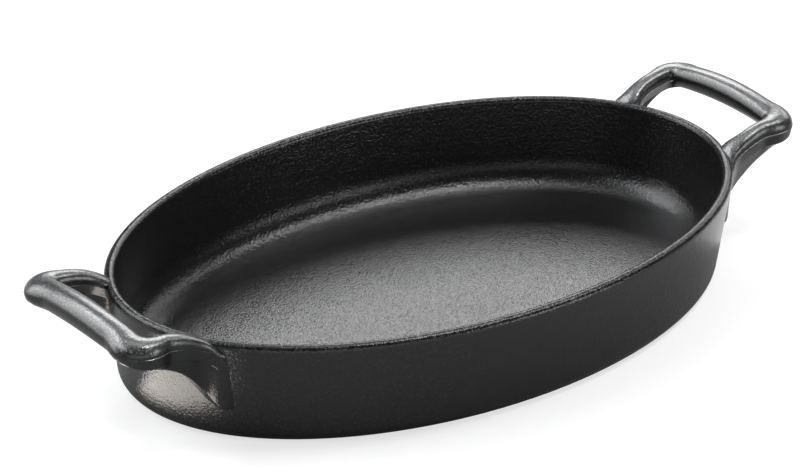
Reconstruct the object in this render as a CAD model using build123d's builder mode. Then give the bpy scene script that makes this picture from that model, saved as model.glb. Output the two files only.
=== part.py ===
from build123d import *
from math import cos, radians, sin, sqrt
import os

os.makedirs("parts", exist_ok=True)

# An oval gratin dish with two loop handles, in glazed ceramic.
# X is the long axis and runs through both handles, +Z is up, lengths are in millimetres.
# The origin is the middle of the foot, on the surface that the dish stands on.

# The oval dish
rim_length = 320.0
rim_width = 200.8
dish_height = 48.0
wall_lean = 5.7
rim_thickness = 5.0
floor_thickness = 5.6
cove_radius = 14.0
rim_outer_round = 2.4
rim_inner_round = 2.0
heel_radius = 5.8

# The foot ring, left standing by a shallow recess under the floor
foot_ring_width = 9.0
recess_depth = 1.2
recess_round = 0.8

# The handles, seen from above
handle_reach = 22.3
arm_spacing_at_wall = 69.6
arm_spacing_at_bar = 72.2
corner_radius = 8.5
corner_fullness = 4.0
corner_spread = 14.0
bar_bow = 1.1
root_flare = 3.7
root_flare_length = 10.0
inner_root_flare = 2.5
inner_flare_length = 9.0

# The handles, seen from the side, as heights above or below the rim
root_crown_rise = -3.4
grip_crown_rise = 10.3
root_ledge_rise = -7.9
grip_ledge_rise = 4.5
climb_exponent = 3.1
bar_arch = 3.9
underside_arch = 2.4
web_full_depth = 17.5
web_exponent = 2.2

# The section of the bar, a rounded grip
bar_width = 12.8
belly_height = 5.3
outward_fall = 0.7

# The section of an arm: a dome on a fine ledge, a band under it, and a web under the band
arm_width = 9.6
ledge_width = 0.4
ledge_drop = 0.15
band_height = 4.9
band_draft = 0.4
undercut = 1.0
undercut_drop = 0.6
inner_band_height = 4.2
inner_band_draft = 1.2
shelf_drop = 0.9
web_inset = 0.8
web_thickness = 3.3
web_round = 1.0
web_lean_share = 0.2

# Where the corners of an arm's section come to lie on the bar, in degrees below its widest line
lip_angle = -3.0
ledge_angle = 3.0
band_angle = 25.0
undercut_angle = 45.0
web_angle = 68.0
shoulder_out_share = 0.72
shoulder_up_share = 0.735
section_spacing = 4.0

half_length = rim_length / 2
half_width = rim_width / 2


def oval(inset):
    """An oval that lies this far inside the rim's outer edge."""
    return Ellipse(half_length - inset, half_width - inset)


def wall_place(y):
    """How far out along X the rim's outer edge lies, this far from the long axis."""
    return half_length * sqrt(1 - (y / half_width) ** 2)


def mix(first, second, share):
    """The value this share of the way from the first to the second."""
    return first + (second - first) * share


# Places that follow from the sizes above
root_x = wall_place((arm_spacing_at_wall + arm_width) / 2 + root_flare)
inner_root_x = wall_place((arm_spacing_at_wall - arm_width) / 2)
bar_x = half_length + handle_reach
tip_x = bar_x + bar_bow + bar_width / 2
start_x = root_x - 2 * wall_lean

# The dish's outer form, solid, from its rounded heel to the outside of its rim
with BuildPart() as outer_form:
    with BuildSketch(Plane.XY):
        oval(wall_lean)
    with BuildSketch(Plane.XY.offset(dish_height)):
        oval(0)
    loft(ruled=True)
    fillet(outer_form.edges().group_by(Axis.Z)[0], radius=heel_radius)
    fillet(outer_form.edges().group_by(Axis.Z)[-1], radius=rim_outer_round)

# The hollow, whose wall follows the outer wall and rounds into the floor
floor_lean = wall_lean * (dish_height - floor_thickness) / dish_height
with BuildPart() as hollow:
    with BuildSketch(Plane.XY.offset(floor_thickness)):
        oval(rim_thickness + floor_lean)
    with BuildSketch(Plane.XY.offset(dish_height)):
        oval(rim_thickness)
    loft(ruled=True)
    fillet(hollow.edges().group_by(Axis.Z)[0], radius=cove_radius)

with BuildPart() as dish_body:
    add(outer_form.part)
    add(hollow.part, mode=Mode.SUBTRACT)
    inner_rim = dish_body.edges().group_by(Axis.Z)[-1].sort_by(SortBy.LENGTH)[0]
    fillet(inner_rim, radius=rim_inner_round)
    with BuildSketch(Plane.XY):
        oval(wall_lean + heel_radius + foot_ring_width)
    extrude(amount=recess_depth, mode=Mode.SUBTRACT)
    recess_ceiling = dish_body.faces().filter_by(Plane.XY).sort_by(Axis.Z)[1]
    fillet(recess_ceiling.edges(), radius=recess_round)
dish_body.part.label = "dish_body"

corner_angles = [lip_angle, ledge_angle, band_angle, undercut_angle, web_angle]


def grip_section(point, direction):
    """One section of a handle, square to its middle line: an arm's, the bar's or a blend."""
    bar_share = direction.Y**2
    middle_share = max(1 - (2 * point.Y / arm_spacing_at_bar) ** 2, 0)
    corner_gap = sqrt((point.X - bar_x) ** 2 + (abs(point.Y) - arm_spacing_at_bar / 2) ** 2)
    corner_share = max(1 - (corner_gap / corner_spread) ** 2, 0) ** 2
    reach_share = min(max(point.X - root_x, 0) / (tip_x - root_x), 1)
    flare_share = max(1 - max(point.X - root_x, 0) / root_flare_length, 0) ** 2
    inner_flare_share = max(1 - max(point.X - inner_root_x, 0) / inner_flare_length, 0) ** 2

    # Widths, to either side of the middle line
    half = mix(arm_width, bar_width, bar_share) / 2
    outer_half = half + corner_fullness * corner_share + root_flare * flare_share
    inner_half = half + inner_root_flare * inner_flare_share

    # Heights, which climb steeply from the rim and level off
    climb = 1 - (1 - reach_share) ** climb_exponent
    lift = dish_height + bar_arch * middle_share
    crown = lift + mix(root_crown_rise, grip_crown_rise, climb)
    ledge = lift + mix(root_ledge_rise, grip_ledge_rise, climb)
    dome = crown - ledge
    belly = belly_height + (bar_arch - underside_arch) * middle_share
    fall = outward_fall * bar_share / 2
    web_depth = web_full_depth * (1 - reach_share) ** web_exponent
    foot_drop = band_height + undercut_drop + web_depth

    # The web stands under the outer side of the arm and spreads where it meets the wall
    web_out = arm_width / 2 - web_inset - web_lean_share * web_depth
    web_foot_out = mix(web_out, outer_half, flare_share)
    web_foot_in = mix(web_out - web_thickness, -inner_half, inner_flare_share)
    web_top_in = mix(arm_width / 2 - undercut - web_thickness, -inner_half, inner_flare_share)

    outer_corners = [
        (outer_half - ledge_width, -ledge_drop),
        (outer_half, 0),
        (outer_half - band_draft * (1 - flare_share), band_height),
        (outer_half - undercut * (1 - flare_share), band_height + undercut_drop),
        (web_foot_out, foot_drop),
    ]
    inner_corners = [
        (ledge_width - inner_half, -ledge_drop),
        (-inner_half, 0),
        (inner_band_draft * (1 - inner_flare_share) - inner_half, inner_band_height),
        (web_top_in, inner_band_height + shelf_drop),
        (web_foot_in, foot_drop),
    ]

    def bar_point(side, reach, angle):
        """A place on the bar's rounded section."""
        height = belly if angle > 0 else dome
        drop = height * sin(radians(angle))
        return Vector(side * reach * cos(radians(angle)), ledge - side * fall - drop)

    def flank(side, reach, corners):
        """Corners of one flank with the places halfway between them, from the dome down."""
        places = []
        for (offset, drop), angle in zip(corners, corner_angles):
            arm_point = Vector(offset, ledge - side * fall - drop)
            places.append(mix(arm_point, bar_point(side, reach, angle), bar_share))
        halfway = []
        for number in range(len(places) - 1):
            angle = (corner_angles[number] + corner_angles[number + 1]) / 2
            straight = (places[number] + places[number + 1]) / 2
            halfway.append(mix(straight, bar_point(side, reach, angle), bar_share))
        return places, halfway

    outer, outer_halfway = flank(1, outer_half, outer_corners)
    inner, inner_halfway = flank(-1, inner_half, inner_corners)
    arm_bottom = Vector((web_foot_out + web_foot_in) / 2, ledge - foot_drop - web_round)
    bottom = mix(arm_bottom, Vector(0, ledge - belly), bar_share)
    shoulder = ledge + shoulder_up_share * dome
    shoulder_fall = shoulder_out_share * fall
    even_pull = (1, 1)

    outward = direction.cross(Vector(0, 0, 1))
    centre = Vector(point.X + bar_bow * middle_share, point.Y, 0)
    with BuildSketch(Plane(origin=centre, x_dir=outward, z_dir=-direction)) as outline:
        with BuildLine():
            Spline(
                inner[0],
                (-shoulder_out_share * inner_half, shoulder + shoulder_fall),
                (0, crown),
                (shoulder_out_share * outer_half, shoulder - shoulder_fall),
                outer[0],
                tangents=((0, 1), (0, -1)),
                tangent_scalars=even_pull,
            )
            for number in range(len(outer_halfway)):
                outer_side = Spline(outer[number], outer_halfway[number], outer[number + 1])
                inner_side = Spline(inner[number], inner_halfway[number], inner[number + 1])
            Spline(
                outer[-1],
                bottom,
                inner[-1],
                tangents=(outer_side % 1, -(inner_side % 1)),
                tangent_scalars=even_pull,
            )
        make_face()
    return outline.sketch.face()


# The middle line of a handle, seen from above: an arm, the bar and the other arm
with BuildLine():
    middle_line = FilletPolyline(
        (start_x, -arm_spacing_at_wall / 2),
        (bar_x, -arm_spacing_at_bar / 2),
        (bar_x, arm_spacing_at_bar / 2),
        (start_x, arm_spacing_at_wall / 2),
        radius=corner_radius,
    )

with BuildPart() as right_handle:
    steps = round(middle_line.length / section_spacing)
    shares = [step / steps for step in range(steps + 1)]
    loft([grip_section(middle_line @ share, middle_line % share) for share in shares])
    # The root is cut to the wall, and stays clear of the flat top of the rim
    add(outer_form.part, mode=Mode.SUBTRACT)
    with BuildSketch(Plane.XY.offset(dish_height - rim_outer_round)):
        oval(rim_outer_round)
    extrude(amount=dish_height, mode=Mode.SUBTRACT)
right_handle.part.label = "right_handle"

with BuildPart() as left_handle:
    mirror(right_handle.part, about=Plane.YZ)
left_handle.part.label = "left_handle"

export_step(dish_body.part, "parts/dish_body.step")
export_step(right_handle.part, "parts/right_handle.step")
export_step(left_handle.part, "parts/left_handle.step")
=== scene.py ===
from math import cos, pi, radians, sin

import bpy
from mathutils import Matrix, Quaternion, Vector


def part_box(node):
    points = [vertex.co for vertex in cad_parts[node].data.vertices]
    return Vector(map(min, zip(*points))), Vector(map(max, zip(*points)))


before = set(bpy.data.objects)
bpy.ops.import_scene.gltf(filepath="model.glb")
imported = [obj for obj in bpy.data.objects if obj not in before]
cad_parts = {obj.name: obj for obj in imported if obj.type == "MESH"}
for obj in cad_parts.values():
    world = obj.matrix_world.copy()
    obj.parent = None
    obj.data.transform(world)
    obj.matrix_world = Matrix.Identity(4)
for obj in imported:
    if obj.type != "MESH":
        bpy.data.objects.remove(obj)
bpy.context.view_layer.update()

# Lengths are in metres and directions in degrees, in the frame of the CAD model
rim_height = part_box("dish_body")[1][2]
rim_centre = Vector((0, 0, rim_height))

# The glaze: where a soft change starts, and where it is complete
speck_noise_limits = (0.46, 0.66)
facing_up_limits = (0.1, 0.8)
rim_band_limits = (-0.002, -0.0002)

# Ripples in the glaze, long and level
ripple_scale = 70
ripple_stretch = (1, 1, 9)

# How strongly the glaze and the film on it bend light, and how rough the film is
glaze_index = 1.5
film_index = 1.8
film_roughness = 0.34

# The floor lies just under the foot. The lift brings it to white in the camera's view.
floor_half_side = 4
floor_level = -0.0001
floor_tone = 0.45
floor_roughness = 0.9
floor_lift = 0.68

# Light from all round, and the lamps
world_strength = 0.05
lamp_distance = 2.2
card_level = 0.002
plain_white = (1, 1, 1)
cool_white = (0.95, 0.98, 1)
warm_white = (1, 0.94, 0.86)

# The camera. Its aim lies off the rim's centre, to the right and up as the camera sees it.
camera_azimuth = -40.34
camera_elevation = 26.47
camera_roll = 1.2
camera_distance = 1.5026
aim_right = -0.01237
aim_up = -0.01191
lens_length = 153.16
sensor_width = 36
view_depth = 20


# Materials

def socket_value(node, name, value):
    node.inputs[name].default_value = value


def new_material(name):
    """An empty node material with a Principled shader on its output."""
    material = bpy.data.materials.new(name)
    material.use_nodes = True
    tree = material.node_tree
    tree.nodes.clear()
    output = tree.nodes.new("ShaderNodeOutputMaterial")
    shader = tree.nodes.new("ShaderNodeBsdfPrincipled")
    tree.links.new(shader.outputs["BSDF"], output.inputs["Surface"])
    return material, tree, shader


def glaze_group():
    """Glaze: cloudy patches, fine specks that can be set to gather on surfaces facing up as a
    painted sheen, and an orange peel over slow waves and ripples.
    """
    group = bpy.data.node_groups.new("Satin glaze", "ShaderNodeTree")

    def add_sockets(side, kind, *names):
        for name in names:
            group.interface.new_socket(name=name, in_out=side, socket_type=kind)

    add_sockets("INPUT", "NodeSocketColor", "Deep Color", "Cloud Color", "Speck And Top Sheen Color")
    add_sockets(
        "INPUT", "NodeSocketFloat",
        "Cloud Size", "Cloud Amount", "Speck Size", "Speck Amount", "Peel Size",
        "Wave Size", "Wave Share", "Gloss", "Gloss Variation", "Speck Gloss",
        "Top Sheen Share", "Rim Height", "Rim Amount", "Ripple Share",
    )
    add_sockets("OUTPUT", "NodeSocketColor", "Color")
    add_sockets("OUTPUT", "NodeSocketFloat", "Roughness", "Height", "Top")
    nodes, links = group.nodes, group.links
    given = nodes.new("NodeGroupInput")
    made = nodes.new("NodeGroupOutput")
    place = nodes.new("ShaderNodeTexCoord")
    surface = nodes.new("ShaderNodeNewGeometry")

    def give(value, socket):
        """Sets the socket to a number, or links another node's output to it."""
        if isinstance(value, (int, float)):
            socket.default_value = value
        else:
            links.new(value, socket)

    def calculate(operation, *values):
        node = nodes.new("ShaderNodeMath")
        node.operation = operation
        for number, value in enumerate(values):
            give(value, node.inputs[number])
        return node.outputs[0]

    def noise(vector, scale, detail, roughness):
        node = nodes.new("ShaderNodeTexNoise")
        socket_value(node, "Detail", detail)
        socket_value(node, "Roughness", roughness)
        give(vector, node.inputs["Vector"])
        give(scale, node.inputs["Scale"])
        return node.outputs["Fac"]

    def grain(size_name, detail, roughness=0.5):
        """Noise whose grains are as wide as the group's input says, in metres."""
        scale = calculate("DIVIDE", 1, given.outputs[size_name])
        return noise(place.outputs["Object"], scale, detail, roughness)

    def soft_change(value, limits):
        """0 up to the first limit and 1 from the second one on, with a soft change between."""
        node = nodes.new("ShaderNodeMapRange")
        node.interpolation_type = "SMOOTHSTEP"
        socket_value(node, "From Min", limits[0])
        socket_value(node, "From Max", limits[1])
        give(value, node.inputs["Value"])
        return node.outputs["Result"]

    def upward_part(vector):
        node = nodes.new("ShaderNodeSeparateXYZ")
        give(vector, node.inputs[0])
        return node.outputs["Z"]

    def mix_color(factor, first, second):
        node = nodes.new("ShaderNodeMix")
        node.data_type = "RGBA"
        give(factor, node.inputs["Factor"])
        give(first, node.inputs["A"])
        give(second, node.inputs["B"])
        return node.outputs["Result"]

    # Specks gather along the rim. Where the top share is set, they also gather on surfaces
    # that face up: a painted sheen, with lighter tops standing in for reflected light
    top = soft_change(upward_part(surface.outputs["Normal"]), facing_up_limits)
    below_top = calculate("SUBTRACT", top, 1)
    top_sheen_share = calculate("MULTIPLY_ADD", given.outputs["Top Sheen Share"], below_top, 1)
    above_rim = calculate(
        "SUBTRACT", upward_part(place.outputs["Object"]), given.outputs["Rim Height"])
    rim_band = soft_change(above_rim, rim_band_limits)
    on_rim = calculate("MULTIPLY", rim_band, given.outputs["Rim Amount"])
    amount = calculate("MULTIPLY_ADD", given.outputs["Speck Amount"], top_sheen_share, on_rim)
    spots = soft_change(grain("Speck Size", detail=3, roughness=0.65), speck_noise_limits)
    specks_and_top_sheen = calculate("MULTIPLY", spots, amount)

    clouds = grain("Cloud Size", detail=4, roughness=0.6)
    cloud_share = calculate("MULTIPLY", clouds, given.outputs["Cloud Amount"])
    cloudy = mix_color(cloud_share, given.outputs["Deep Color"], given.outputs["Cloud Color"])
    # Speck colour: the glaze's own speckle, and on upward faces also the painted top sheen
    speckled_and_top_sheen = mix_color(specks_and_top_sheen, cloudy, given.outputs["Speck And Top Sheen Color"])

    uneven_gloss = calculate(
        "MULTIPLY_ADD", clouds, given.outputs["Gloss Variation"], given.outputs["Gloss"])
    gloss = calculate("MULTIPLY_ADD", specks_and_top_sheen, given.outputs["Speck Gloss"], uneven_gloss)

    peel = grain("Peel Size", detail=2)
    waves = grain("Wave Size", detail=1)
    relief = calculate("MULTIPLY_ADD", waves, given.outputs["Wave Share"], peel)

    # Fine level ripples on the upright surfaces, long across and narrow in height
    stretched = nodes.new("ShaderNodeVectorMath")
    stretched.operation = "MULTIPLY"
    stretched.inputs[1].default_value = ripple_stretch
    give(place.outputs["Object"], stretched.inputs[0])
    ripples = noise(stretched.outputs["Vector"], ripple_scale, detail=2, roughness=0.5)
    upright = calculate("SUBTRACT", 1, top)
    ripple_share = calculate("MULTIPLY", upright, given.outputs["Ripple Share"])
    rippled = calculate("MULTIPLY_ADD", ripples, ripple_share, relief)

    give(speckled_and_top_sheen, made.inputs["Color"])
    give(gloss, made.inputs["Roughness"])
    give(rippled, made.inputs["Height"])
    give(top, made.inputs["Top"])
    return group


def glaze(name, group, settings, peel_depth, specular, has_film=False):
    """A glaze from the shared group, with its settings by the names of the group's inputs."""
    material, tree, shader = new_material(name)
    texture = tree.nodes.new("ShaderNodeGroup")
    texture.node_tree = group
    for input_name, value in settings.items():
        socket_value(texture, input_name, value)
    bump = tree.nodes.new("ShaderNodeBump")
    socket_value(bump, "Strength", 1)
    socket_value(bump, "Distance", peel_depth)
    tree.links.new(texture.outputs["Height"], bump.inputs["Height"])
    tree.links.new(bump.outputs["Normal"], shader.inputs["Normal"])
    tree.links.new(texture.outputs["Color"], shader.inputs["Base Color"])
    tree.links.new(texture.outputs["Roughness"], shader.inputs["Roughness"])
    socket_value(shader, "Specular IOR Level", specular)
    socket_value(shader, "IOR", glaze_index)
    if has_film:
        # A silvery film lies where the surface faces up
        tree.links.new(texture.outputs["Top"], shader.inputs["Coat Weight"])
        tree.links.new(bump.outputs["Normal"], shader.inputs["Coat Normal"])
        socket_value(shader, "Coat IOR", film_index)
        socket_value(shader, "Coat Roughness", film_roughness)
    return material


def assign(node_name, material):
    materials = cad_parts[node_name].data.materials
    materials.clear()
    materials.append(material)


shared_group = glaze_group()
body_glaze = glaze(
    "Satin black glaze", shared_group,
    {
        "Deep Color": (0.006, 0.006, 0.0062, 1), "Cloud Color": (0.012, 0.012, 0.013, 1),
        "Speck And Top Sheen Color": (0.035, 0.035, 0.038, 1),
        "Cloud Size": 0.02, "Cloud Amount": 0.6, "Speck Size": 0.0011, "Speck Amount": 0.35,
        "Peel Size": 0.0011, "Wave Size": 0.005, "Wave Share": 0.4,
        "Gloss": 0.2, "Gloss Variation": 0.05, "Speck Gloss": 0.06,
        "Top Sheen Share": 0, "Rim Height": rim_height, "Rim Amount": 0.4, "Ripple Share": 0.35,
    },
    peel_depth=0.00027, specular=0.55,
)
# The handles have no rim: its height is set well above them
handle_glaze = glaze(
    "Black glaze with painted top sheen", shared_group,
    {
        "Deep Color": (0.008, 0.008, 0.008, 1), "Cloud Color": (0.014, 0.015, 0.016, 1),
        # Light silvery specks that gather where the handles face up: partly the glaze's own
        # speckle, partly a painted sheen standing in for reflected light
        "Speck And Top Sheen Color": (0.3, 0.315, 0.33, 1),
        "Cloud Size": 0.004, "Cloud Amount": 0.6, "Speck Size": 0.0009, "Speck Amount": 0.45,
        "Peel Size": 0.001, "Wave Size": 0.004, "Wave Share": 0.25,
        "Gloss": 0.17, "Gloss Variation": 0.05, "Speck Gloss": 0.08,
        "Top Sheen Share": 0.95, "Rim Height": 1, "Rim Amount": 0, "Ripple Share": 0,
    },
    peel_depth=0.00014, specular=0.5, has_film=True,
)
assign("dish_body", body_glaze)
assign("left_handle", handle_glaze)
assign("right_handle", handle_glaze)


# The stage: a pale floor that shows white to the camera and keeps the shadow

def flat_square(name, half_side, height):
    mesh = bpy.data.meshes.new(name)
    corners = [(-half_side, -half_side, height), (half_side, -half_side, height),
               (half_side, half_side, height), (-half_side, half_side, height)]
    mesh.from_pydata(corners, [], [(0, 1, 2, 3)])
    square = bpy.data.objects.new(name, mesh)
    bpy.context.collection.objects.link(square)
    return square


floor = flat_square("studio_floor", floor_half_side, floor_level)
floor_paint, floor_tree, floor_shader = new_material("Pale floor")
socket_value(floor_shader, "Base Color", (floor_tone, floor_tone, floor_tone, 1))
socket_value(floor_shader, "Roughness", floor_roughness)
socket_value(floor_shader, "Specular IOR Level", 0)
socket_value(floor_shader, "Emission Color", (1, 1, 1, 1))
floor_rays = floor_tree.nodes.new("ShaderNodeLightPath")
floor_glow = floor_tree.nodes.new("ShaderNodeMath")
floor_glow.operation = "MULTIPLY"
floor_glow.inputs[1].default_value = floor_lift
floor_tree.links.new(floor_rays.outputs["Is Camera Ray"], floor_glow.inputs[0])
floor_tree.links.new(floor_glow.outputs[0], floor_shader.inputs["Emission Strength"])
# From below the floor is clear, so that the foot can be looked at
floor_side = floor_tree.nodes.new("ShaderNodeNewGeometry")
floor_cover = floor_tree.nodes.new("ShaderNodeMath")
floor_cover.operation = "SUBTRACT"
floor_cover.inputs[0].default_value = 1
floor_tree.links.new(floor_side.outputs["Backfacing"], floor_cover.inputs[1])
floor_tree.links.new(floor_cover.outputs[0], floor_shader.inputs["Alpha"])
floor.data.materials.append(floor_paint)

# The world is dim, and white to the camera
world = bpy.data.worlds.new("Studio")
world.use_nodes = True
bpy.context.scene.world = world
world_nodes, world_links = world.node_tree.nodes, world.node_tree.links
backdrop = world_nodes["Background"]
socket_value(backdrop, "Color", (1, 1, 1, 1))
world_rays = world_nodes.new("ShaderNodeLightPath")
world_glow = world_nodes.new("ShaderNodeMapRange")
socket_value(world_glow, "To Min", world_strength)
socket_value(world_glow, "To Max", 1)
world_links.new(world_rays.outputs["Is Camera Ray"], world_glow.inputs["Value"])
world_links.new(world_glow.outputs["Result"], backdrop.inputs["Strength"])


def direction(azimuth, elevation):
    """A unit vector. Azimuth 0 points to -Y, and azimuth 90 to +X."""
    turn, lift = radians(azimuth), radians(elevation)
    return Vector((sin(turn) * cos(lift), -cos(turn) * cos(lift), sin(lift)))


def sheet_of_light(name, width, depth, brightness, color):
    """A rectangle of even light, as bright as white where brightness is 1."""
    lamp = bpy.data.lights.new(name, "AREA")
    lamp.shape = "RECTANGLE"
    lamp.size = width
    lamp.size_y = depth
    lamp.energy = pi * width * depth * brightness
    lamp.color = color
    holder = bpy.data.objects.new(name, lamp)
    bpy.context.collection.objects.link(holder)
    holder.visible_camera = False
    return holder


def soft_lamp(name, azimuth, elevation, width, height, brightness, color=plain_white):
    """A sheet of light that faces the dish from this direction."""
    holder = sheet_of_light(name, width, height, brightness, color)
    away = direction(azimuth, elevation)
    holder.location = rim_centre + away * lamp_distance
    holder.rotation_euler = away.to_track_quat("Z", "Y").to_euler()


def glowing_card(name, x, y, width, depth, brightness, color=plain_white):
    """A sheet of light that lies on the floor and shows in the dish's outer wall."""
    holder = sheet_of_light(name, width, depth, brightness, color)
    holder.location = (x, y, card_level)
    holder.rotation_euler = (pi, 0, 0)


soft_lamp("softbox_back_right", azimuth=138, elevation=30.5,
          width=1.0, height=0.8, brightness=5.4)
soft_lamp("softbox_right_high", azimuth=75, elevation=54,
          width=0.6, height=0.5, brightness=9)
soft_lamp("softbox_right", azimuth=106, elevation=23,
          width=1.0, height=0.7, brightness=2.6)
soft_lamp("softbox_left_high", azimuth=-120, elevation=50,
          width=1.3, height=0.9, brightness=4.2, color=cool_white)
soft_lamp("softbox_back_left", azimuth=-145, elevation=30,
          width=1.5, height=0.8, brightness=3.2)
soft_lamp("strip_front_right", azimuth=30, elevation=9,
          width=0.95, height=0.8, brightness=4.6)
soft_lamp("strip_left", azimuth=-133, elevation=9,
          width=1.9, height=0.8, brightness=2.6)
soft_lamp("fill_front", azimuth=-30, elevation=9,
          width=3.0, height=0.8, brightness=1.2)
soft_lamp("softbox_top", azimuth=144, elevation=75,
          width=1.1, height=1.1, brightness=1.7)
soft_lamp("edge_lamp_left", azimuth=-164, elevation=50,
          width=0.8, height=0.6, brightness=8, color=cool_white)
soft_lamp("edge_lamp_top", azimuth=52, elevation=71,
          width=0.4, height=0.35, brightness=26)
glowing_card("card_left", x=-0.182, y=-0.016,
             width=0.04, depth=0.06, brightness=6.0, color=warm_white)
glowing_card("card_right", x=0.2, y=-0.03,
             width=0.1, depth=0.12, brightness=0.8)


# The camera, at the photograph's angle

toward_camera = direction(camera_azimuth, camera_elevation)
level_right = Vector((cos(radians(camera_azimuth)), sin(radians(camera_azimuth)), 0))
level_up = toward_camera.cross(level_right)
aim = rim_centre + level_right * aim_right + level_up * aim_up
camera = bpy.data.objects.new("camera", bpy.data.cameras.new("camera"))
bpy.context.collection.objects.link(camera)
camera.data.sensor_width = sensor_width
camera.data.lens = lens_length
camera.data.clip_end = view_depth
camera.location = rim_centre + toward_camera * camera_distance
sight = (camera.location - aim).to_track_quat("Z", "Y")
roll = Quaternion((0, 0, 1), radians(camera_roll))
camera.rotation_mode = "QUATERNION"
camera.rotation_quaternion = sight @ roll
bpy.context.scene.camera = camera
bpy.context.scene.view_settings.view_transform = "Standard"
